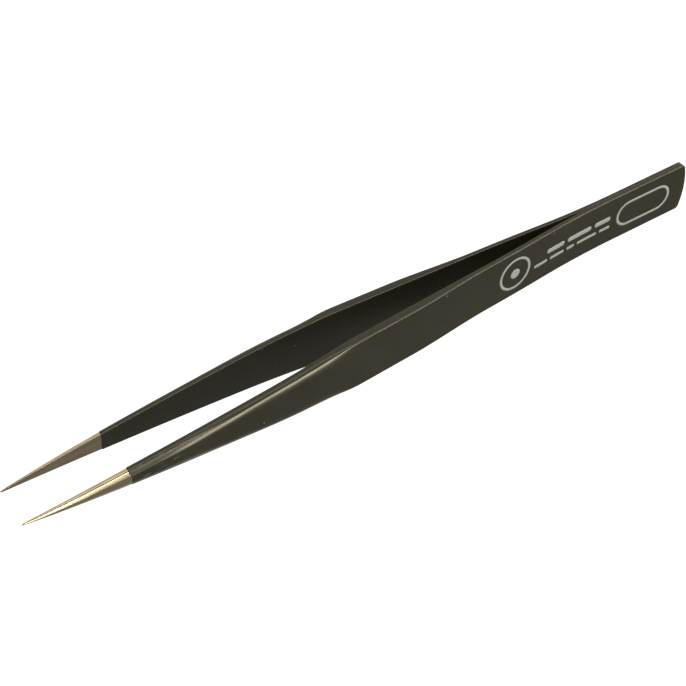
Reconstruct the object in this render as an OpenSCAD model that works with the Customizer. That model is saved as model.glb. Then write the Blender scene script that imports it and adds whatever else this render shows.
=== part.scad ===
// Precision tweezers: two ground spring-steel blades, spot welded at the heel,
// under one satin film that stops short of the bare needle tips.
// +X runs from the tips to the heel, +Y across the opening, +Z up.
// The tweezers stand on the edges of the blades, centred over the origin.
// In names and comments, s is a distance along the length, from the heel's end
// towards the tips. Everything is drawn for the far blade, at +Y; the near one is
// its mirror image.

/* [Overall] */
// Length from the heel's end to the needle tips
length = 130; // [126:1:134]
// Width of the blades along the handle, with the film on
blade_w = 10; // [9:0.1:11]
// Length of the flat heel where the two blades touch and are welded
heel_len = 16; // [15:0.5:17]

/* [Blade thickness] */
// Steel thickness of the ground-down leaf that flexes
leaf_t = 0.58; // [0.5:0.02:0.7]
// Steel thickness where the finger area begins
body_t = 1.24; // [1:0.02:1.4]
// Steel thickness at the very tip
tip_t = 0.2; // [0.16:0.01:0.3]
// Distance from the heel at which the leaf starts to thicken
thicken_start = 44; // [42:1:46]
// Distance from the heel at which the blade is at its thickest
thicken_end = 61; // [58:1:64]
// Power law by which the thickness falls off towards the tip
thinning_power = 7; // [5:0.5:8]

/* [Bow of the arms] */
// Distance from the heel at which the leaf leans out the most
lean_at = 32; // [30:1:34]
// Lean of the inner face there, in degrees
lean_angle = 5; // [4.6:0.1:5.4]
// Distance from the heel at which the finger area begins
finger_at = 46; // [44:1:48]
// Lean of the inner face where the finger area begins, in degrees
finger_angle = 3.2; // [2.8:0.1:3.6]
// Distance from the heel to the elbow, where the arm turns parallel
elbow_at = 78; // [76:1:80]
// Lean of the inner face at the elbow, in degrees
elbow_angle = 3.5; // [3.2:0.1:3.8]
// Length of the elbow
elbow_len = 10; // [8:1:12]
// Lean of the inner face just past the elbow, in degrees
parallel_angle = 0.8; // [0.6:0.1:1]
// Lean of the inner face at the tip, in degrees; a negative lean is inwards
tip_angle = -1.8; // [-2:0.1:-1.6]

/* [Point] */
// Distance from the heel at which the blade starts to narrow
shoulder_at = 72.5; // [72:0.5:74]
// Length of the rounded shoulder
shoulder_len = 6; // [4:1:8]
// Half width of the needle tip
tip_half_w = 0.17; // [0.15:0.01:0.3]
// How far the narrowing edge bulges beyond a straight line
taper_crown = 0.1; // [0:0.01:0.2]
// Share of the edge's thickness that the outer bevels leave
bevel_keep = 0.62; // [0.55:0.01:0.7]
// Width between the bevels where they start, as a share of the blade's
ridge_start = 0.9; // [0.86:0.01:0.94]
// Width between the bevels at the needle tip, as a share of the blade's
ridge_tip = 0.3; // [0.26:0.01:0.36]

/* [Heel end] */
// Radius of the heel's rounded end, seen from the side
heel_end_r = 17; // [14:1:20]
// Radius of the two corners of the heel's end
heel_corner_r = 1; // [0.8:0.1:1.2]
// Diameter of each spot weld
weld_d = 3; // [2.5:0.1:4]
// Distance of the first spot weld from the heel's end
weld_at = 5.5; // [5:0.5:6]
// Distance between the two spot welds
weld_pitch = 7; // [6:0.5:8]

/* [Film] */
// Thickness of the film
film_t = 0.08; // [0.06:0.01:0.1]
// Length of each tip that the film leaves bare
bare_len = 17; // [15:0.5:20]

/* [Print] */
// Thickness of the printed ink
ink_t = 0.03; // [0.02:0.01:0.04]
// Length and height of the printed oval
oval_size = [12, 5.4];
// Distance of the oval's centre from the heel's end
oval_at = 9.6; // [9:0.1:10]
// Lengths of the bars in the upper row, from the heel on
wide_bars = [3.6, 5.4, 4.0];
// Lengths of the bars in the lower row, from the heel on
slim_bars = [2.4, 4.4, 1.8, 3.2, 3.0];
// Distance of both rows' start from the heel's end
bars_at = 17; // [16.5:0.5:18]
// Radius of the printed ring
ring_r = 3.4; // [3:0.1:3.6]
// Distance of the ring's centre from the heel's end
ring_at = 38.6; // [38.4:0.1:40]

/* [Hinge] */
// Distance from the heel at which each leaf is taken to pivot
pivot_at = 34.5; // [34.3:0.1:34.7]
// Clearance between an arm's round end and its seat
pivot_gap = 0.02; // [0.01:0.01:0.04]

/* [Hidden] */

steel_colour = [0.72, 0.70, 0.66];
film_colour = [0.19, 0.19, 0.18];
ink_colour = [0.75, 0.75, 0.74];

half_w = blade_w / 2;
film_end = length - bare_len;
overshoot = 2;      // how far a cutting shape runs past what it cuts
split_room = 3;     // how far root and arm outlines overlap before they are split
weld_depth = 0.2;   // how far a spot weld reaches into each blade
line_w = 0.5;       // width of the printed lines
bevel_runout = 8;   // length over which the bevels sink in, at the elbow
bevel_lift = 0.4;   // how far they stand off where they haven't begun

// Slope of a blade's inner face at each turning point. It changes evenly between
// them, so each stretch is an arc, or straight where both ends have one slope.
LEANS = [
    [heel_len, 0],
    [lean_at, tan(lean_angle)],
    [finger_at, tan(finger_angle)],
    [elbow_at, tan(elbow_angle)],
    [elbow_at + elbow_len, tan(parallel_angle)],
    [length, tan(tip_angle)]
];

// Where a distance along the length lies in X.
function x_of(s) = length / 2 - s;

// How far the inner face climbs within stretch i of LEANS, up to s.
function climb(i, s) =
    let (a = LEANS[i], b = LEANS[i + 1])
    let (run = min(max(s, a[0]), b[0]) - a[0])
    run * (a[1] + (b[1] - a[1]) * run / (b[0] - a[0]) / 2);

// Distance of the steel's inner face from the middle plane.
function inner(s, i = 0) = i > len(LEANS) - 2 ? 0 : climb(i, s) + inner(s, i + 1);

// 0 up to a, 1 from b on, and a smooth change between them.
function ease(s, a, b) = let (u = min(max((s - a) / (b - a), 0), 1)) u * u * (3 - 2 * u);

// a at u = 0 and b at u = 1.
function mix(a, b, u) = a + (b - a) * u;

// Steel thickness: a thin leaf, a thicker finger area, then thinner to the tip.
function thickness(s) =
    s < thicken_end
        ? mix(leaf_t, body_t, ease(s, thicken_start, thicken_end))
        : mix(body_t, tip_t, pow((s - thicken_end) / (length - thicken_end), thinning_power));

// Distance of the steel's outer face from the middle plane.
function outer(s) = inner(s) + thickness(s);

// Half width of the steel: parallel, a rounded shoulder, then a slightly crowned taper.
function half_width(s) =
    let (full = half_w - film_t)
    let (u = (s - shoulder_at) / (length - shoulder_at))
    let (taper = mix(full, tip_half_w, u) + 4 * taper_crown * u * (1 - u))
    min(full, mix(full, taper, ease(s, shoulder_at - shoulder_len / 2, shoulder_at + shoulder_len / 2)));

// Half the distance between the two outer bevels.
function ridge(s) =
    half_width(s) * mix(ridge_start, ridge_tip, ease(s, elbow_at + 6, length - 4));

// Points from a to b, about step apart, both ends included.
function run(a, b, step) = let (n = ceil((b - a) / step)) [for (i = [0:n]) mix(a, b, i / n)];

// The list from its last entry to its first.
function backwards(list) = [for (i = [len(list) - 1:-1:0]) list[i]];

// Points on an arc about [cs, cz], from angle a to angle b.
function arc(cs, cz, r, a, b, n) =
    [for (i = [0:n]) let (t = mix(a, b, i / n)) [cs + r * cos(t), cz + r * sin(t)]];

// Distances at which the outlines have a point: closer together where they curve more.
ROOT_RUN = concat([0], run(heel_len, pivot_at + split_room, 1.5));
BOW_RUN = concat(run(pivot_at - split_room, finger_at, 1.5), run(finger_at + 3, shoulder_at - 5, 3));
POINT_RUN = run(shoulder_at - 3.5, length - 1, 2);
FILM_RUN = concat(BOW_RUN, [for (s = POINT_RUN) if (s < film_end) s], [film_end]);
STEEL_RUN = concat(BOW_RUN, POINT_RUN, [length]);

// The hinge lies in the middle of the leaf, square to its lean.
pivot_y = inner(pivot_at) + leaf_t / 2;
pivot_lean = atan((inner(pivot_at + 0.5) - inner(pivot_at - 0.5)) / 1);
pivot_r = (leaf_t / 2 + film_t) * cos(pivot_lean);

// Centre of the heel end's corners, and the angle at which they meet the big arc.
corner_z = half_w - heel_corner_r;
corner_s = heel_end_r - sqrt(pow(heel_end_r - heel_corner_r, 2) - pow(corner_z, 2));
corner_angle = 180 - asin(corner_z / (heel_end_r - heel_corner_r));

// Lays a drawing of [s, z] on its side and gives it all the depth that is needed.
module upright(points) {
    translate([length / 2, 0, half_w])
        rotate([90, 0, 0])
            linear_extrude(height = 4 * blade_w, center = true)
                polygon([for (p = points) [-p[0], p[1]]]);
}

// One blade seen from above along the distances S, grown by g on its faces.
module plan(S, g) {
    linear_extrude(height = blade_w)
        polygon(concat(
            [for (s = S) [x_of(s), max(inner(s) - g, 0)]],
            [for (s = backwards(S)) [x_of(s), outer(s) + g]]
        ));
}

// The heel seen from the side, inset by g on every edge.
module heel_side(g) {
    end_s = pivot_at + split_room;
    upright(concat(
        [[end_s, half_w - g]],
        arc(corner_s, corner_z, heel_corner_r - g, 90, corner_angle, 5),
        arc(heel_end_r, 0, heel_end_r - g, corner_angle, 360 - corner_angle, 8),
        arc(corner_s, -corner_z, heel_corner_r - g, 360 - corner_angle, 270, 5),
        [[end_s, g - half_w]]
    ));
}

// An arm seen from the side along the distances S, grown by g on its edges.
module arm_side(S, g) {
    upright(concat(
        [for (s = S) [s, half_width(s) + g]],
        [for (s = backwards(S)) [s, -half_width(s) - g]]
    ));
}

// Corner that one outer bevel takes off at s, as a triangle of [z, y], for faces grown by g.
function bevel_triangle(s, g) =
    let (a = [ridge(s), outer(s)], b = [half_width(s), inner(s) + bevel_keep * thickness(s)])
    let (along = (b - a) / norm(b - a), away = [-along[1], along[0]])
    let (lift = g + bevel_lift * (1 - ease(s, elbow_at - bevel_runout, elbow_at)))
    [
        a + away * lift - along * overshoot,
        a + away * (lift + overshoot),
        b + away * lift + along * overshoot
    ];

// What one outer bevel takes off, swept from triangle to triangle along the arm.
module bevel(g) {
    S = concat(run(elbow_at - bevel_runout, length, 3), [length + overshoot]);
    last = 3 * (len(S) - 1);
    polyhedron(
        points = [for (s = S) for (p = bevel_triangle(min(s, length), g)) [x_of(s), p[1], p[0]]],
        faces = concat(
            [[2, 1, 0], [last, last + 1, last + 2]],
            [for (i = [0:3:last - 3]) for (k = [0:2])
                let (a = i + k, b = i + (k + 1) % 3) [a, b, a + 3]],
            [for (i = [0:3:last - 3]) for (k = [0:2])
                let (a = i + k, b = i + (k + 1) % 3) [b, b + 3, a + 3]]
        )
    );
}

// A whole arm along the distances S, grown by g all round, with both bevels.
module arm_stock(S, g) {
    difference() {
        intersection() {
            plan(S, g);
            arm_side(S, g);
        }
        translate([0, 0, half_w]) bevel(g);
        translate([0, 0, half_w]) mirror([0, 0, 1]) bevel(g);
    }
}

// Everything in front of the hinge, with the round end that sits in the root.
module arm_zone(clearance) {
    linear_extrude(height = blade_w)
        translate([x_of(pivot_at), pivot_y])
            rotate(180 - pivot_lean) {
                translate([0, -blade_w]) square([length, 2 * blade_w]);
                circle(r = pivot_r + clearance, $fn = 96);
            }
}

// The steel of a blade's fixed part, from the heel's end to the hinge.
module blade_root() {
    difference() {
        intersection() {
            plan(ROOT_RUN, 0);
            heel_side(film_t);
        }
        arm_zone(pivot_gap);
        welds();
    }
}

// The steel of a blade's moving part, from the hinge to the bare tip.
module blade_arm() {
    intersection() {
        arm_stock(STEEL_RUN, 0);
        arm_zone(0);
    }
}

// The film on a blade's moving part.
module film_arm() {
    difference() {
        intersection() {
            arm_stock(FILM_RUN, film_t);
            arm_zone(0);
        }
        arm_stock(STEEL_RUN, 0);
    }
}

// The film's outer surface over half of the heel.
module heel_stock() {
    difference() {
        intersection() {
            plan(ROOT_RUN, film_t);
            heel_side(0);
        }
        arm_zone(pivot_gap);
    }
}

// The fused discs that join the two blades.
module welds() {
    for (i = [0:1])
        translate([x_of(weld_at + i * weld_pitch), 0, half_w])
            rotate([90, 0, 0])
                cylinder(h = 2 * weld_depth, d = weld_d, center = true, $fn = 64);
}

// Ink on the near blade's outer face, wherever the mark drawn in [s, z] covers it.
module ink_on(S) {
    mirror([0, 1, 0])
        intersection() {
            linear_extrude(height = blade_w)
                polygon(concat(
                    [for (s = S) [x_of(s), outer(s) + film_t]],
                    [for (s = backwards(S)) [x_of(s), outer(s) + film_t + ink_t]]
                ));
            translate([length / 2, 0, half_w])
                rotate([90, 0, 0])
                    linear_extrude(height = 2 * blade_w, center = true)
                        mirror([1, 0])
                            children();
        }
}

// Where bar i of a row starts, with a gap of gap between the bars.
function bar_start(bars, gap, i) =
    i == 0 ? bars_at : bar_start(bars, gap, i - 1) + bars[i - 1] + gap;

// A row of plain bars of height h about the height z.
module bar_row(bars, gap, z, h) {
    for (i = [0:len(bars) - 1])
        translate([bar_start(bars, gap, i), z - h / 2])
            square([bars[i], h]);
}

// An oval with straight sides and round ends.
module oval(size) {
    for (side = [-1, 1])
        translate([side * (size[0] - size[1]) / 2, 0])
            circle(d = size[1], $fn = 96);
    square([size[0] - size[1], size[1]], center = true);
}

module near_blade_root() {
    color(steel_colour) mirror([0, 1, 0]) blade_root();
}

module far_blade_root() {
    color(steel_colour) blade_root();
}

module spot_welds() {
    color(steel_colour) welds();
}

module heel_film() {
    color(film_colour)
        difference() {
            union() {
                heel_stock();
                mirror([0, 1, 0]) heel_stock();
            }
            blade_root();
            mirror([0, 1, 0]) blade_root();
            welds();
        }
}

module near_blade() {
    color(steel_colour) mirror([0, 1, 0]) blade_arm();
}

module near_film() {
    color(film_colour) mirror([0, 1, 0]) film_arm();
}

module far_blade() {
    color(steel_colour) blade_arm();
}

module far_film() {
    color(film_colour) film_arm();
}

module printed_oval() {
    color(ink_colour)
        ink_on(ROOT_RUN)
            translate([oval_at, 0])
                difference() {
                    oval(oval_size);
                    oval(oval_size - [2, 2] * line_w);
                }
}

module printed_bars() {
    color(ink_colour)
        ink_on(ROOT_RUN) {
            bar_row(wide_bars, 0.7, 0.7, 1);
            bar_row(slim_bars, 0.6, -1.2, 0.6);
        }
}

module printed_ring() {
    color(ink_colour)
        ink_on(BOW_RUN)
            translate([ring_at, 0]) {
                difference() {
                    circle(r = ring_r, $fn = 96);
                    circle(r = ring_r - line_w, $fn = 96);
                }
                circle(r = 2 * line_w, $fn = 48);
            }
}

near_blade_root();
far_blade_root();
spot_welds();
heel_film();
near_blade();
near_film();
far_blade();
far_film();
printed_oval();
printed_bars();
printed_ring();
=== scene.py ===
"""Precision tweezers: the looks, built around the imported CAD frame.

The CAD model splits each springy blade at a hinge. Here each blade, and the film on it, is one
unbroken mesh from the heel to the tip, whose shape curves smoothly from the heel into the arm.

Shapes are worked out in millimetres, as (s, across, up): s runs from the heel's end towards the
tips, across is the distance from the middle plane between the blades, and up is the height
above the middle of the blades' width. place() turns that into metres in the row frame.
"""

import math
from collections import namedtuple

import bmesh
import bpy
import numpy as np
from mathutils import Matrix, Vector


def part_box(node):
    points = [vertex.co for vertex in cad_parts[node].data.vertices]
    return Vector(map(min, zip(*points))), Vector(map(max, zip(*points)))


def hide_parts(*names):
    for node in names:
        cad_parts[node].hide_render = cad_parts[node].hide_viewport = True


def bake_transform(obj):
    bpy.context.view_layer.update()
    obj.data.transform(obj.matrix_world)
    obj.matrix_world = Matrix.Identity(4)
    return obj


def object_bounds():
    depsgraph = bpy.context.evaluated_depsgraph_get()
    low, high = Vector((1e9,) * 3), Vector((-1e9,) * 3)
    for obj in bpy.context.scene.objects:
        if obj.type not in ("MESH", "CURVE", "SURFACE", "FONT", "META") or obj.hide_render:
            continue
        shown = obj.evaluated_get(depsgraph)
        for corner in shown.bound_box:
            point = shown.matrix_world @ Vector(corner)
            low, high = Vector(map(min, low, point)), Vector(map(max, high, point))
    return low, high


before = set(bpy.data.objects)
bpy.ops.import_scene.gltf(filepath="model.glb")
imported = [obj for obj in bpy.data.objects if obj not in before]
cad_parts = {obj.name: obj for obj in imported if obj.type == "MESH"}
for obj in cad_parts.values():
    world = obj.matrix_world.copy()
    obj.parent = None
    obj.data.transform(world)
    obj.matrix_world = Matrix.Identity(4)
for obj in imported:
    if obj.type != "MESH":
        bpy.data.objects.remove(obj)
cad_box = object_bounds()

MM = 0.001
FAR, NEAR = 1, -1

# ---- Sizes that the frame gives, in mm

LENGTH = (cad_box[1].x - cad_box[0].x) / MM
WIDTH = (cad_box[1].z - cad_box[0].z) / MM
HEEL_X = cad_box[1].x / MM
MID_Z = (cad_box[0].z + cad_box[1].z) / 2 / MM
FILM_T = WIDTH / 2 + MID_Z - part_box("far_blade")[1].z / MM
FILM_END = HEEL_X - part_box("far_film")[0].x / MM
HALF_W = WIDTH / 2 - FILM_T

# ---- The shape of a blade, in mm and degrees, as part.scad has it

HEEL_LEN = 16.0
LEAF_T, BODY_T, TIP_T = 0.58, 1.24, 0.2
THICKEN_START, THICKEN_END = 44.0, 61.0
THINNING_POWER = 7.0
ELBOW_AT, ELBOW_LEN = 78.0, 10.0
LEANS = [
    (HEEL_LEN, 0.0),
    (32.0, 5.0),
    (46.0, 3.2),
    (ELBOW_AT, 3.5),
    (ELBOW_AT + ELBOW_LEN, 0.8),
    (LENGTH, -1.8),
]
SHOULDER_AT, SHOULDER_LEN = 72.5, 6.0
TIP_HALF_W = 0.17
TAPER_CROWN = 0.1
BEVEL_KEEP = 0.62
BEVEL_FROM, BEVEL_TO = 71.0, 79.0
RIDGE_START, RIDGE_TIP = 0.9, 0.3
RIDGE_FROM, RIDGE_TO = ELBOW_AT + 6.0, LENGTH - 4.0
HEEL_END_R, HEEL_CORNER_R = 17.0, 1.0

# ---- The print on the near blade, in mm, with the places and sizes that part.scad has

INK_T = 0.03
INK_SINK = INK_T / 3            # how deep the ink reaches into the film
LINE_W = 0.5
OVAL_AT, OVAL_SIZE = 9.6, (12.0, 5.4)
BARS_AT = 17.0
WIDE_BARS, SLIM_BARS = (3.6, 5.4, 4.0), (2.4, 4.4, 1.8, 3.2, 3.0)
RING_AT, RING_R = 38.6, 3.4
DOT_R, DOT_LINE_W = 2 * LINE_W, 0.95    # the dot is a line that nearly fills its own circle

# ---- Finer shape that only the looks need, in mm

EDGE_CHAMFER = 0.12             # how far the outer long edges are broken along the handle
FACE_CROWN = 0.07               # how far the outer face falls away at its ridges
FACE_SHARES = (0.0, 0.16, 0.32, 0.48, 0.62, 0.73, 0.82, 0.89, 0.94, 0.98)   # points over a face
CORNER_STEPS = 5
ROUND_SHARE = 0.45              # the most of either side that a rounded corner takes
RIDGE_AIM = 0.4                 # height on the outer face that a ridge's rounding aims at, a share
END_ROUND = 0.12                # rounding of the film over the heel's end
END_TURNS = (0, 22, 45, 68, 90)     # degrees round that rounding
END_FADE = 6.0                  # where sections no longer follow the heel's rounded end
LIP_ROUND = 0.05                # rounding of the film's front edge
LIP_TURN = LIP_ROUND * 0.3      # how far back and in that rounding's middle lies
LIP_FROM, LIP_FULL = FILM_END - 3.0, FILM_END - 0.3     # between these it takes the edge's shape
LIP_COARSE, LIP_FINE = 0.04, 0.025      # how far that edge strays, in slow and in quick waves
LIP_SLOW, LIP_QUICK, LIP_PHASE = 7.3, 17.0, 2.0         # radians per mm, and where one starts
LIP_SLANTS = {NEAR: (-0.3, 0.4, 1.6), FAR: (0.2, -1.5, 1.0)}    # lower part's shift, end heights
TIP_ROUND = ((0.7, 0.0), (0.4, 0.008), (0.2, 0.02), (0.08, 0.04), (0.0, 0.065))  # back, inset

# Where sections lie along a blade, and how far apart
HEEL_STATIONS = [0.3, 0.6, 1.0, 1.5, 2.1, 2.8, 3.6, 4.6, 5.8]
EVEN_FROM = 7.0
LIP_FIRST = LIP_FROM + 0.5
BARE_FROM, BARE_TO = FILM_END - 2.0, LENGTH - 1.0
FILM_STEP, HIDDEN_STEP, LIP_STEP, BARE_STEP = 1.0, 3.0, 0.4, 0.25
BAR_STEP, BAR_END_STEPS, BAR_END_HALF = 0.6, 6, 0.03
LOOP_STEPS = 96

Layer = namedtuple("Layer", "grow edge_round ridge_round point_round seam")
FILM_OUTSIDE = Layer(grow=FILM_T, edge_round=0.10, ridge_round=0.28, point_round=0.32, seam=0.004)
FILM_INSIDE = Layer(grow=0.003, edge_round=0.05, ridge_round=0.24, point_round=0.26, seam=0.008)
BARE_STEEL = Layer(grow=0.0, edge_round=0.05, ridge_round=0.24, point_round=0.26, seam=0.012)

# ---- How polished the film is, and how much painted highlight it carries, from 0 to 1

CORNER_WEIGHTS = (0.0, 0.6, 1.0, 1.0, 0.6, 0.0)                             # over a corner
RIDGE_PAINTED_SHEEN = (0.0, 0.0, 0.0, 0.1, 0.3, 0.45)                                # painted sheen over a ridge
SIDE_PAINTED_SHEEN = (0.35, 0.21, 0.10, 0.05, 0.015, 0.0, 0.0, 0.0, 0.0, 0.0)        # painted sheen beside a ridge
UNDER_BUFF_SHEEN = 0.35               # the lower half's polishing and painted highlight, as a share of the upper half's
# Edges and ridges are polished and also carry a painted highlight line, strongest on the point's
# ridges
INNER_EDGE_BUFF_SHEEN = 0.35
HANDLE_EDGE_BUFF_SHEEN, POINT_EDGE_BUFF_SHEEN = 0.30, 0.10
HANDLE_RIDGE_BUFF_SHEEN, POINT_RIDGE_BUFF_SHEEN, FRONT_RIDGE_BUFF_SHEEN = 0.60, 0.9, 0.2
FRONT_FROM, FRONT_TO = ELBOW_AT + 24.0, FILM_END - 4.0
SCUFFS_FROM, SCUFFS_FADE = FILM_END - 14.0, 6.0         # the outer face is scuffed from here on
SCUFFS_ABOVE, SCUFFS_EDGE = 4.3, 0.3                    # and only this far from the middle plane

# ---- Colours, linear

FILM_DARK, FILM_LIGHT = (0.0175, 0.0165, 0.0088), (0.0225, 0.0205, 0.0115)
# The first of these is the colour of polished film and of its painted highlights
FILM_BUFFED_SHEEN, FILM_SCUFFED = (0.32, 0.30, 0.225), (0.32, 0.30, 0.25)
DUST = (0.30, 0.28, 0.20)
SPECK_SIZE = 0.045              # as a share of the distance between specks
PATCHES_FROM = 0.56             # the noise above which there are specks at all
STEEL_LIGHT, STEEL_DEEP = (0.68, 0.57, 0.42), (0.60, 0.495, 0.35)
STEEL_LINES = (0.24, 0.20, 0.14)
WELD_STRAW, WELD_BLUE = (0.42, 0.36, 0.27), (0.28, 0.27, 0.30)
INK_DARK, INK_LIGHT = (0.25, 0.26, 0.25), (0.34, 0.34, 0.33)

# ---- Studio, in m, W and degrees

FLOOR_HALF = 3.0
ROOM_TINT = (1.0, 0.97, 0.88, 1.0)
ROOM_FRONT, ROOM_BACK = 0.22, 0.75      # how bright the room is in front and behind
ROOM_TURN = (-0.2, 0.6)                 # directions' Y between which it goes from one to the other
LIGHTS_AIM = Vector((0.0, 0.0, 0.0))
LENS_MM, SENSOR_MM = 83.97, 36.0
BEARING, PITCH, ROLL = 33.09, 46.21, -0.63
CAMERA_AWAY = 256.35 * MM
AIM_SHIFT = Vector((-6.3, 0.8, 0.0)) * MM


def mix(a, b, u):
    return a + (b - a) * u


def ease(s, a, b):
    """Goes smoothly from 0 at a to 1 at b."""
    u = min(max((s - a) / (b - a), 0.0), 1.0)
    return u * u * (3 - 2 * u)


def inner(s):
    """Distance of the steel's inner face from the middle plane."""
    total = 0.0
    for (a, lean_a), (b, lean_b) in zip(LEANS[:-1], LEANS[1:], strict=True):
        slope_a = math.tan(math.radians(lean_a))
        slope_b = math.tan(math.radians(lean_b))
        run = min(max(s, a), b) - a
        total += run * (slope_a + (slope_b - slope_a) * run / (b - a) / 2)
    return total


def thickness(s):
    """Thickness of the steel."""
    if s < THICKEN_END:
        return mix(LEAF_T, BODY_T, ease(s, THICKEN_START, THICKEN_END))
    share = (min(s, LENGTH) - THICKEN_END) / (LENGTH - THICKEN_END)
    return mix(BODY_T, TIP_T, share**THINNING_POWER)


def outer(s):
    """Distance of the steel's outer face from the middle plane."""
    return inner(s) + thickness(s)


def half_width(s):
    """Half width of the steel."""
    u = (s - SHOULDER_AT) / (LENGTH - SHOULDER_AT)
    taper = mix(HALF_W, TIP_HALF_W, u) + 4 * TAPER_CROWN * u * (1 - u)
    turn = ease(s, SHOULDER_AT - SHOULDER_LEN / 2, SHOULDER_AT + SHOULDER_LEN / 2)
    return min(HALF_W, mix(HALF_W, taper, turn))


def ridge_share(s):
    """Half the distance between the outer bevels, as a share of the half width."""
    return mix(RIDGE_START, RIDGE_TIP, ease(s, RIDGE_FROM, RIDGE_TO))


def heel_end(up, shrink):
    """Where the heel's rounded end lies at a height, for a surface that lies shrink inside it."""
    corner_z = WIDTH / 2 - HEEL_CORNER_R
    corner_s = HEEL_END_R - math.sqrt((HEEL_END_R - HEEL_CORNER_R) ** 2 - corner_z**2)
    tangent_z = corner_z * HEEL_END_R / (HEEL_END_R - HEEL_CORNER_R)
    z = min(abs(up), WIDTH / 2 - shrink)
    if z < tangent_z:
        return HEEL_END_R - math.sqrt((HEEL_END_R - shrink) ** 2 - z * z)
    return corner_s - math.sqrt(max((HEEL_CORNER_R - shrink) ** 2 - (z - corner_z) ** 2, 0.0))


# ---- Cross sections


def rounded(before, corner, after, radius):
    """Points that round off a corner between its two neighbours, as (across, up)."""
    before, corner, after = (np.array(p, float) for p in (before, corner, after))
    back, forth = before - corner, after - corner
    back_len, forth_len = np.linalg.norm(back), np.linalg.norm(forth)
    reach = min(radius, ROUND_SHARE * back_len, ROUND_SHARE * forth_len)
    start = corner + back / back_len * reach
    end = corner + forth / forth_len * reach
    weights = [i / CORNER_STEPS for i in range(CORNER_STEPS + 1)]
    return [(1 - u) ** 2 * start + 2 * u * (1 - u) * corner + u * u * end for u in weights]


def half_section(s, layer):
    """Upper half of a section, from the inner face's middle over the edge to the outer face's."""
    low = max(inner(s) - layer.grow, layer.seam)
    high = outer(s) + layer.grow
    wide = half_width(s) + layer.grow
    point = ease(s, BEVEL_FROM, BEVEL_TO)
    edge = high - mix(EDGE_CHAMFER, (1 - BEVEL_KEEP) * (high - low), point)
    ridge = wide - mix(EDGE_CHAMFER, (1 - ridge_share(s)) * wide, point)
    top = high - FACE_CROWN * point * min(1.0, (high - low) / BODY_T)
    turns = [(low, 0.0), (low, wide), (edge, wide), (top, ridge), (high, ridge * RIDGE_AIM)]
    inside = rounded(*turns[0:3], layer.edge_round)
    shoulder = rounded(*turns[1:4], mix(layer.edge_round, layer.point_round, point))
    outside = rounded(*turns[2:5], mix(layer.edge_round, layer.ridge_round, point))
    fall, reach = high - outside[-1][0], outside[-1][1]
    inner_face = [np.array((low, inside[0][1] * f)) for f in FACE_SHARES]
    outer_face = [np.array((high - fall * f * f, reach * f)) for f in reversed(FACE_SHARES)]
    return inner_face + inside + shoulder + outside + outer_face


def section(s, layer):
    """A whole section, as (across, up) points in a loop."""
    half = half_section(s, layer)
    return half + [np.array((p[0], -p[1])) for p in reversed(half[1:-1])]


def edge_weights():
    """How much each point of a section lies on its inner edge, outer edge, ridge and ridge's side,
    which last gets a painted sheen.
    """
    rows = [(0.0, 0.0, 0.0, 0.0)] * len(FACE_SHARES)
    rows += [(w, 0.0, 0.0, 0.0) for w in CORNER_WEIGHTS]
    rows += [(0.0, w, 0.0, 0.0) for w in CORNER_WEIGHTS]
    rows += [(0.0, 0.0, w, side) for w, side in zip(CORNER_WEIGHTS, RIDGE_PAINTED_SHEEN, strict=True)]
    rows += [(0.0, 0.0, 0.0, side) for side in SIDE_PAINTED_SHEEN]
    # The lower half is less polished and gets less painted highlight
    under = [tuple(w * UNDER_BUFF_SHEEN for w in row) for row in rows[-2:0:-1]]
    return rows + under


def buff_and_sheen_at(s, weights):
    """How far the surface is polished and painted with a highlight at s, for a point with these edge
    weights.
    """
    on_point = ease(s, BEVEL_FROM, BEVEL_TO)
    front = ease(s, FRONT_FROM, FRONT_TO)
    outer_edge = mix(HANDLE_EDGE_BUFF_SHEEN, POINT_EDGE_BUFF_SHEEN, on_point)
    ridge = mix(HANDLE_RIDGE_BUFF_SHEEN, mix(POINT_RIDGE_BUFF_SHEEN, FRONT_RIDGE_BUFF_SHEEN, front), on_point)
    # Edges and ridges are polished and painted with a highlight; the ridge's side gets painted sheen
    # only, on the point and not at its front
    amounts = (INNER_EDGE_BUFF_SHEEN, outer_edge, ridge, on_point * (1 - front))
    return sum(w * amount for w, amount in zip(weights, amounts, strict=True))


def ring(s, layer, inset=0.0):
    """A section in space, shrunk by inset, that follows the heel's rounded end."""
    loop = section(s, layer)
    low = min(p[0] for p in loop)
    high = max(p[0] for p in loop)
    wide = max(p[1] for p in loop)
    middle = (low + high) / 2
    fade = 1 - ease(s, 0.0, END_FADE)
    points = []
    for across, up in loop:
        across = middle + (across - middle) * (1 - 2 * inset / (high - low))
        up = up * (1 - inset / wide)
        points.append((s + heel_end(up, FILM_T - layer.grow) * fade, across, up))
    return points


def stations(a, b, step):
    """Distances from a to b, about step apart, both ends included."""
    count = max(1, math.ceil((b - a) / step))
    return [mix(a, b, i / count) for i in range(count + 1)]


def hidden_stations():
    """Where the steel and the film's hollow have sections, from the heel's end to the lip."""
    return [0.0, *HEEL_STATIONS, *stations(EVEN_FROM, LIP_FROM, HIDDEN_STEP)]


# ---- Meshes


def place(point, side):
    """A point of the far blade (side 1) or of its mirror image (side -1), in metres."""
    s, across, up = point
    return ((HEEL_X - s) * MM, side * across * MM, (MID_Z + up) * MM)


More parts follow.
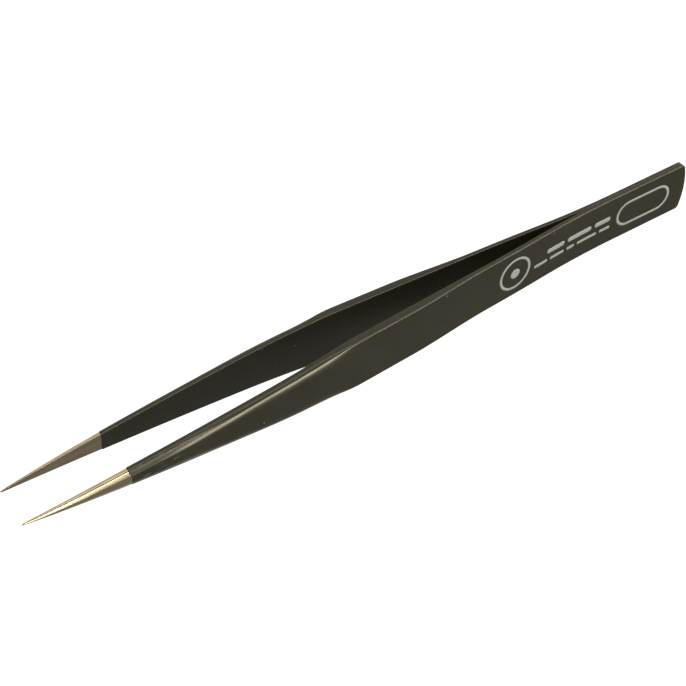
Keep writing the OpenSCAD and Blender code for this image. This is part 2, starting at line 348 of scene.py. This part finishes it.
def make_piece(name, points, faces, side, material, buff_sheen_share=None):
    """A smooth closed mesh, with each point's place at rest and its polishing and painted highlight
    kept for the materials.
    """
    mesh = bpy.data.meshes.new(name)
    mesh.from_pydata([place(p, side) for p in points], [], faces)
    rest = mesh.attributes.new("rest", "FLOAT_VECTOR", "POINT")
    rest.data.foreach_set("vector", np.array(points, np.float32).ravel())
    if buff_sheen_share is not None:
        mesh.attributes.new("buff_and_sheen", "FLOAT", "POINT").data.foreach_set("value", buff_sheen_share)
    work = bmesh.new()
    work.from_mesh(mesh)
    bmesh.ops.recalc_face_normals(work, faces=work.faces)
    for face in work.faces:
        face.smooth = True
    work.to_mesh(mesh)
    work.free()
    mesh.materials.append(material)
    piece = bpy.data.objects.new(name, mesh)
    bpy.context.scene.collection.objects.link(piece)
    return piece


def tube_faces(ring_count, size):
    """Quads between each ring and the next."""
    faces = []
    for r in range(ring_count - 1):
        for k in range(size):
            a = r * size + k
            b = r * size + (k + 1) % size
            faces.append((a, b, b + size, a + size))
    return faces


def cap_faces(first, size):
    """Quads across a ring, from its inner face to its outer face."""
    half = size // 2
    faces = []
    for sign in (1, -1):
        for k in range(half // 2):
            steps = (k, k + 1, half - k - 1, half - k)
            corners = [first + (sign * step) % size for step in steps]
            faces.append(tuple(dict.fromkeys(corners)))
    return faces


def loft(name, rings, side, material):
    """A closed solid through rings of one size, with a cap on both ends."""
    size = len(rings[0])
    points = [p for loop in rings for p in loop]
    faces = tube_faces(len(rings), size)
    faces += cap_faces(0, size)
    faces += cap_faces(size * (len(rings) - 1), size)
    weights = edge_weights()
    # How far each point is polished and painted with a highlight
    buff_sheen_share = [buff_and_sheen_at(p[0], weights[k % size]) for k, p in enumerate(points)]
    return make_piece(name, points, faces, side, material, buff_sheen_share)


# ---- Node materials

NOISE_SPAN, NOISE_CORE = (0.3, 0.7), (0.35, 0.65)   # most of a noise's values, and the middle ones
NOISE_ROUGHNESS = 0.55
MIX_A, MIX_B, MIX_RESULT = 6, 7, 2                  # a Mix node's sockets for colours


def map_range(tree, given, wanted):
    """A node that turns the range given into the range wanted, and stays within it."""
    node = tree.nodes.new("ShaderNodeMapRange")
    labels = ("From Min", "From Max", "To Min", "To Max")
    for label, number in zip(labels, (*given, *wanted), strict=True):
        node.inputs[label].default_value = number
    return node


class Nodes:
    """A material under construction."""

    def __init__(self, name):
        self.material = bpy.data.materials.new(name)
        self.material.use_nodes = True
        self.tree = self.material.node_tree
        self.shader = self.tree.nodes["Principled BSDF"]

    def link(self, value, socket):
        """Feeds a socket from another one, or sets it to a constant."""
        if isinstance(value, bpy.types.NodeSocket):
            self.tree.links.new(value, socket)
        else:
            socket.default_value = value

    def attribute(self, name, output):
        node = self.tree.nodes.new("ShaderNodeAttribute")
        node.attribute_name = name
        return node.outputs[output]

    def rest(self):
        """Each point's place at rest, in mm: X is s, Y is across and Z is up."""
        return self.attribute("rest", "Vector")

    def buff_and_sheen(self):
        """How far the surface is polished and painted with a highlight at a point, from 0 to 1."""
        return self.attribute("buff_and_sheen", "Fac")

    def object_mm(self):
        """The place on a CAD node, in mm."""
        node = self.tree.nodes.new("ShaderNodeTexCoord")
        return self.stretched(node.outputs["Object"], (1 / MM,) * 3)

    def stretched(self, vector, scale):
        node = self.tree.nodes.new("ShaderNodeMapping")
        self.link(vector, node.inputs["Vector"])
        node.inputs["Scale"].default_value = scale
        return node.outputs["Vector"]

    def axis(self, vector, name):
        node = self.tree.nodes.new("ShaderNodeSeparateXYZ")
        self.link(vector, node.inputs[0])
        return node.outputs[name]

    def noise(self, vector, scale, detail):
        node = self.tree.nodes.new("ShaderNodeTexNoise")
        self.link(vector, node.inputs["Vector"])
        node.inputs["Scale"].default_value = scale
        node.inputs["Detail"].default_value = detail
        node.inputs["Roughness"].default_value = NOISE_ROUGHNESS
        return node.outputs["Fac"]

    def spots(self, vector, scale):
        """Distance to the nearest of many scattered points."""
        node = self.tree.nodes.new("ShaderNodeTexVoronoi")
        self.link(vector, node.inputs["Vector"])
        node.inputs["Scale"].default_value = scale
        return node.outputs["Distance"]

    def remap(self, value, given, wanted=(0.0, 1.0)):
        node = map_range(self.tree, given, wanted)
        self.link(value, node.inputs["Value"])
        return node.outputs["Result"]

    def maths(self, operation, a, b):
        node = self.tree.nodes.new("ShaderNodeMath")
        node.operation = operation
        self.link(a, node.inputs[0])
        self.link(b, node.inputs[1])
        return node.outputs["Value"]

    def blend(self, factor, a, b):
        """Colour a where factor is 0 and b where it is 1."""
        node = self.tree.nodes.new("ShaderNodeMix")
        node.data_type = "RGBA"
        self.link(factor, node.inputs["Factor"])
        for value, socket in ((a, node.inputs[MIX_A]), (b, node.inputs[MIX_B])):
            self.link((*value, 1.0) if isinstance(value, tuple) else value, socket)
        return node.outputs[MIX_RESULT]

    def bump(self, height, strength, distance_mm, under=None):
        node = self.tree.nodes.new("ShaderNodeBump")
        self.link(height, node.inputs["Height"])
        node.inputs["Strength"].default_value = strength
        node.inputs["Distance"].default_value = distance_mm * MM
        if under is not None:
            self.link(under, node.inputs["Normal"])
        return node.outputs["Normal"]

    def finish(self, colour, roughness, normal, **constants):
        self.link(colour, self.shader.inputs["Base Color"])
        self.link(roughness, self.shader.inputs["Roughness"])
        self.link(normal, self.shader.inputs["Normal"])
        for label, value in constants.items():
            self.shader.inputs[label].default_value = value
        return self.material


def dust_specks(n, rest):
    """1 on a few scattered specks, in some patches only, and 0 elsewhere."""
    specks = n.maths("LESS_THAN", n.spots(rest, scale=0.42), SPECK_SIZE)
    patches = n.maths("GREATER_THAN", n.noise(rest, scale=0.21, detail=0.0), PATCHES_FROM)
    return n.maths("MULTIPLY", specks, patches)


def scuffs(n, rest):
    """How far the film is scuffed: short streaks on the outer face, near the film's front edge."""
    streaks = n.noise(n.stretched(rest, (0.3, 1.2, 1.2)), scale=1.4, detail=2.0)
    amount = n.remap(streaks, (0.54, 0.72), (0.0, 0.14))
    near_point = n.remap(n.axis(rest, "X"), (SCUFFS_FROM, SCUFFS_FROM + SCUFFS_FADE))
    outside = n.remap(n.axis(rest, "Y"), (SCUFFS_ABOVE, SCUFFS_ABOVE + SCUFFS_EDGE))
    return n.maths("MULTIPLY", amount, n.maths("MULTIPLY", near_point, outside))


def film_material():
    """Satin black film: mottled, finely grained, polished on its edges and ridges, which also carry a
    painted highlight, with scuffs and dust.
    """
    n = Nodes("satin_film")
    rest = n.rest()
    mottle = n.noise(rest, scale=0.12, detail=3.0)
    grain = n.noise(n.stretched(rest, (0.35, 1.0, 1.0)), scale=1.2, detail=1.0)
    streaks = n.noise(n.stretched(rest, (0.25, 2.0, 2.0)), scale=1.0, detail=4.0)
    # Polishing and painted highlight on edges and ridges, broken up by streaks
    buff_sheen_share = n.maths("MULTIPLY", n.buff_and_sheen(), n.remap(streaks, NOISE_CORE, (0.7, 1.05)))
    tint = n.blend(n.remap(mottle, NOISE_CORE), FILM_DARK, FILM_LIGHT)
    # Polished film and its painted highlight share one lighter colour
    polished = n.blend(buff_sheen_share, tint, FILM_BUFFED_SHEEN)
    rubbed = n.blend(scuffs(n, rest), polished, FILM_SCUFFED)
    colour = n.blend(dust_specks(n, rest), rubbed, DUST)
    coarse_rough = n.remap(mottle, NOISE_SPAN, (0.27, 0.33))
    fine_rough = n.remap(grain, NOISE_SPAN, (-0.02, 0.02))
    rough = n.maths("ADD", coarse_rough, fine_rough)
    rough = n.maths("SUBTRACT", rough, n.maths("MULTIPLY", buff_sheen_share, 0.08))
    peel = n.bump(n.noise(rest, scale=0.8, detail=1.0), strength=0.05, distance_mm=0.05)
    normal = n.bump(grain, strength=0.05, distance_mm=0.02, under=peel)
    return n.finish(colour, rough, normal, IOR=1.5)


def steel_material():
    """Ground and polished stainless steel, with fine darker lines along the blade."""
    n = Nodes("ground_steel")
    rest = n.rest()
    lines = n.noise(n.stretched(rest, (0.06, 1.5, 1.5)), scale=1.2, detail=1.0)
    patches = n.noise(rest, scale=0.5, detail=3.0)
    tint = n.blend(n.remap(patches, NOISE_SPAN), STEEL_LIGHT, STEEL_DEEP)
    colour = n.blend(n.remap(lines, (0.35, 0.75), (0.0, 0.35)), tint, STEEL_LINES)
    rough = n.remap(lines, NOISE_SPAN, (0.18, 0.32))
    normal = n.bump(lines, strength=0.08, distance_mm=0.02)
    return n.finish(colour, rough, normal, Metallic=1.0)


def ink_material():
    """Matt light grey ink with a slightly broken surface."""
    n = Nodes("grey_ink")
    grain = n.noise(n.rest(), scale=5.0, detail=3.0)
    colour = n.blend(n.remap(grain, NOISE_CORE), INK_DARK, INK_LIGHT)
    rough = n.remap(grain, NOISE_SPAN, (0.5, 0.7))
    normal = n.bump(grain, strength=0.2, distance_mm=0.01)
    return n.finish(colour, rough, normal, IOR=1.45)


def weld_material():
    """Fused steel with a heat tint."""
    n = Nodes("fused_steel")
    ripple = n.noise(n.object_mm(), scale=2.5, detail=4.0)
    colour = n.blend(n.remap(ripple, NOISE_CORE), WELD_STRAW, WELD_BLUE)
    rough = n.remap(ripple, NOISE_SPAN, (0.35, 0.55))
    normal = n.bump(ripple, strength=0.3, distance_mm=0.03)
    return n.finish(colour, rough, normal, Metallic=1.0)


# ---- The blades


def bend_with(piece):
    """Bakes the transform of a piece that runs from the heel to an arm into its mesh."""
    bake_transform(piece)


def lip_shift(up, side):
    """How far the film's front edge strays from square at a height: it slants and is ragged."""
    coarse = LIP_COARSE * math.sin(LIP_SLOW * up + side)
    fine = LIP_FINE * math.sin(LIP_QUICK * up + LIP_PHASE)
    shift, low, high = LIP_SLANTS[side]
    return coarse + fine + shift * (1 - ease(up, low, high))


def sleeve_ring(s, layer, side, inset=0.0):
    """A ring of the film, which takes the shape of its front edge as it nears it."""
    weight = ease(s, LIP_FROM, LIP_FULL)
    points = []
    for k, (_, up) in enumerate(section(s, layer)):
        there = s + lip_shift(up, side) * weight
        points.append(ring(there, layer, inset)[k])
    return points


def end_ring(degrees):
    """A ring on the film's rounding over the heel's end."""
    turn = math.radians(degrees)
    back, inset = END_ROUND * (1 - math.cos(turn)), END_ROUND * (1 - math.sin(turn))
    return ring(back, FILM_OUTSIDE, inset)


def film(name, side, material):
    """The film on one blade: a sleeve that is closed round the heel and open at the point."""
    along = HEEL_STATIONS + stations(EVEN_FROM, LIP_FROM, FILM_STEP)
    front = stations(LIP_FIRST, FILM_END - LIP_ROUND, LIP_STEP)
    rings = [end_ring(degrees) for degrees in END_TURNS]
    rings += [ring(s, FILM_OUTSIDE) for s in along]
    rings += [sleeve_ring(s, FILM_OUTSIDE, side) for s in front]
    rings.append(sleeve_ring(FILM_END - LIP_TURN, FILM_OUTSIDE, side, LIP_TURN))
    rings.append(sleeve_ring(FILM_END, FILM_OUTSIDE, side, LIP_ROUND))
    rings += [sleeve_ring(s, FILM_INSIDE, side) for s in [FILM_END, *reversed(front)]]
    rings += [ring(s, FILM_INSIDE) for s in reversed(hidden_stations())]
    return loft(name, rings, side, material)


def blade(name, side, material):
    """The steel of one blade, in one piece from the heel's end to the needle tip."""
    bare = stations(BARE_FROM, BARE_TO, BARE_STEP)
    rings = [ring(s, BARE_STEEL) for s in hidden_stations() + bare]
    rings += [ring(LENGTH - back, BARE_STEEL, inset) for back, inset in TIP_ROUND]
    return loft(name, rings, side, material)


# ---- The print


def ink_ring(a, b):
    """Section of an ink line between two places (s, up) on the near face, as a thin plate."""
    (s_a, up_a), (s_b, up_b) = a, b
    face_a, face_b = outer(s_a) + FILM_T, outer(s_b) + FILM_T
    return [
        (s_a, face_a + INK_T, up_a),
        (s_b, face_b + INK_T, up_b),
        (s_b, face_b - INK_SINK, up_b),
        (s_a, face_a - INK_SINK, up_a),
    ]


def ink_bar(start, length, up, height):
    """A plain bar with round ends, as rings along it."""
    r = height / 2
    turns = [math.radians(90 * i / BAR_END_STEPS) for i in range(BAR_END_STEPS + 1)]
    ends = [(r * (1 - math.cos(turn)), max(r * math.sin(turn), BAR_END_HALF)) for turn in turns]
    middle = stations(start + r, start + length - r, BAR_STEP)[1:-1]
    outline = [(start + along, half) for along, half in ends]
    outline += [(s, r) for s in middle]
    outline += [(start + length - along, half) for along, half in reversed(ends)]
    return [ink_ring((s, up - half), (s, up + half)) for s, half in outline]


def bar_row(lengths, gap, up, height):
    """A row of plain bars, from the heel on."""
    bars = []
    start = BARS_AT
    for length in lengths:
        bars.append(ink_bar(start, length, up, height))
        start += length + gap
    return bars


def ink_loop(outline, line_w):
    """A closed line of ink inside an outline given as a function of a turn from 0 to 1."""
    turns = [i / LOOP_STEPS for i in range(LOOP_STEPS)]
    return [ink_ring(outline(turn, 0.0), outline(turn, line_w)) for turn in turns]


def stadium(centre, size):
    """Outline of an oval with straight sides, shrunk by inset, as a function of a turn."""
    def outline(turn, inset):
        r = size[1] / 2 - inset
        straight = size[0] - size[1]
        along = turn * (2 * straight + 2 * math.pi * r)
        if along < straight:
            return centre - straight / 2 + along, r
        along -= straight
        if along < math.pi * r:
            angle = math.pi / 2 - along / r
            return centre + straight / 2 + r * math.cos(angle), r * math.sin(angle)
        along -= math.pi * r
        if along < straight:
            return centre + straight / 2 - along, -r
        angle = -math.pi / 2 - (along - straight) / r
        return centre - straight / 2 + r * math.cos(angle), r * math.sin(angle)
    return outline


def circle(centre, radius):
    """Outline of a circle, shrunk by inset, as a function of a turn."""
    def outline(turn, inset):
        angle = 2 * math.pi * turn
        return centre + (radius - inset) * math.cos(angle), (radius - inset) * math.sin(angle)
    return outline


def ink_piece(name, bars, loops, node, material):
    """All the ink of one mark, as closed thin plates in one piece."""
    points, faces = [], []
    for rings, closed in [(r, False) for r in bars] + [(r, True) for r in loops]:
        first, count = len(points), len(rings)
        points += [p for plate in rings for p in plate]
        for r in range(count if closed else count - 1):
            for k in range(4):
                a, b = first + r * 4, first + (r + 1) % count * 4
                faces.append((a + k, a + (k + 1) % 4, b + (k + 1) % 4, b + k))
        if not closed:
            last = first + (count - 1) * 4
            faces.append(tuple(range(first, first + 4)))
            faces.append(tuple(range(last, last + 4)))
    piece = make_piece(name, points, faces, NEAR, material)
    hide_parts(node)
    bend_with(piece)
    return piece


def make_print(material):
    """Plain marks: an empty oval, two rows of bars, and a ring with a dot."""
    oval = [ink_loop(stadium(OVAL_AT, OVAL_SIZE), LINE_W)]
    bars = bar_row(WIDE_BARS, gap=0.7, up=0.7, height=1.0)
    bars += bar_row(SLIM_BARS, gap=0.6, up=-1.2, height=0.6)
    dotted_ring = [
        ink_loop(circle(RING_AT, RING_R), LINE_W),
        ink_loop(circle(RING_AT, DOT_R), DOT_LINE_W),
    ]
    ink_piece("ink_oval", [], oval, "printed_oval", material)
    ink_piece("ink_bars", bars, [], "printed_bars", material)
    ink_piece("ink_ring", [], dotted_ring, "printed_ring", material)


def make_tweezers():
    film_skin, ground_steel, grey_ink = film_material(), steel_material(), ink_material()
    for word, side in (("near", NEAR), ("far", FAR)):
        skin = film(f"{word}_coat", side, film_skin)
        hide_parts(f"{word}_film", "heel_film")
        core = blade(f"{word}_steel", side, ground_steel)
        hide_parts(f"{word}_blade_root", f"{word}_blade")
        for piece in (skin, core):
            bend_with(piece)
    make_print(grey_ink)


def finish_cad_nodes():
    """The spot welds keep their CAD shape and get their own material."""
    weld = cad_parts["spot_welds"]
    weld.data.materials.clear()
    weld.data.materials.append(weld_material())


# ---- Floor, light and camera


def make_floor():
    """A pale floor that glows evenly and isn't mirrored in the object."""
    floor_z = cad_box[0].z
    signs = ((-1, -1), (1, -1), (1, 1), (-1, 1))
    corners = [(x * FLOOR_HALF, y * FLOOR_HALF, floor_z) for x, y in signs]
    mesh = bpy.data.meshes.new("floor")
    mesh.from_pydata(corners, [], [(0, 1, 2, 3)])
    floor = bpy.data.objects.new("floor", mesh)
    bpy.context.scene.collection.objects.link(floor)
    n = Nodes("pale_floor")
    n.shader.inputs["Base Color"].default_value = (0.2, 0.2, 0.2, 1.0)
    n.shader.inputs["Roughness"].default_value = 0.9
    n.shader.inputs["Specular IOR Level"].default_value = 0.1
    n.shader.inputs["Emission Color"].default_value = (1.0, 1.0, 1.0, 1.0)
    n.shader.inputs["Emission Strength"].default_value = 1.0
    mesh.materials.append(n.material)
    floor.visible_glossy = False


def make_light(name, where, size, power, colour, glossy=True):
    """A soft rectangular light; glossy says whether the object mirrors it."""
    data = bpy.data.lights.new(name, "AREA")
    data.shape = "RECTANGLE"
    data.size, data.size_y = size
    data.energy = power
    data.color = colour
    lamp = bpy.data.objects.new(name, data)
    lamp.location = where
    lamp.visible_glossy = glossy
    lamp.rotation_euler = (LIGHTS_AIM - Vector(where)).to_track_quat("-Z", "Y").to_euler()
    bpy.context.scene.collection.objects.link(lamp)


def make_lights():
    """A top light, a low strip that draws the highlights, and a fill that isn't mirrored."""
    make_light("top_softbox", (0.0, 0.0, 0.9), (0.5, 0.5), 1.0, (1.0, 0.96, 0.88))
    make_light("key_softbox", (0.16, -0.68, 0.045), (0.8, 0.08), 2.3, (1.0, 0.95, 0.76))
    fill_colour = (1.0, 0.96, 0.86)
    make_light("fill_softbox", (0.2, -0.28, 0.75), (0.4, 0.4), 5.0, fill_colour, glossy=False)


def make_world():
    """A dim room that grows bright behind the object."""
    world = bpy.data.worlds.new("studio")
    world.use_nodes = True
    tree = world.node_tree
    direction = tree.nodes.new("ShaderNodeTexCoord")
    split = tree.nodes.new("ShaderNodeSeparateXYZ")
    glow = map_range(tree, ROOM_TURN, (ROOM_FRONT, ROOM_BACK))
    background = tree.nodes["Background"]
    background.inputs["Color"].default_value = ROOM_TINT
    tree.links.new(direction.outputs["Generated"], split.inputs[0])
    tree.links.new(split.outputs["Y"], glow.inputs["Value"])
    tree.links.new(glow.outputs["Result"], background.inputs["Strength"])
    bpy.context.scene.world = world


def make_camera():
    """A camera at the front left, above the object, which looks down at it."""
    data = bpy.data.cameras.new("camera")
    data.lens, data.sensor_width = LENS_MM, SENSOR_MM
    data.clip_start, data.clip_end = 0.01, 20.0
    camera = bpy.data.objects.new("camera", data)
    bearing, pitch, roll = (math.radians(degrees) for degrees in (BEARING, PITCH, ROLL))
    level = math.cos(pitch)
    look = Vector((math.sin(bearing) * level, math.cos(bearing) * level, -math.sin(pitch)))
    aim = (cad_box[0] + cad_box[1]) / 2 + AIM_SHIFT
    turn = look.to_track_quat("-Z", "Y").to_matrix().to_4x4() @ Matrix.Rotation(roll, 4, "Z")
    camera.matrix_world = Matrix.Translation(aim - look * CAMERA_AWAY) @ turn
    bpy.context.scene.collection.objects.link(camera)
    bpy.context.scene.camera = camera


make_camera()
make_floor()
make_world()
make_lights()
make_tweezers()
finish_cad_nodes()
bpy.context.scene.view_settings.view_transform = "Standard"
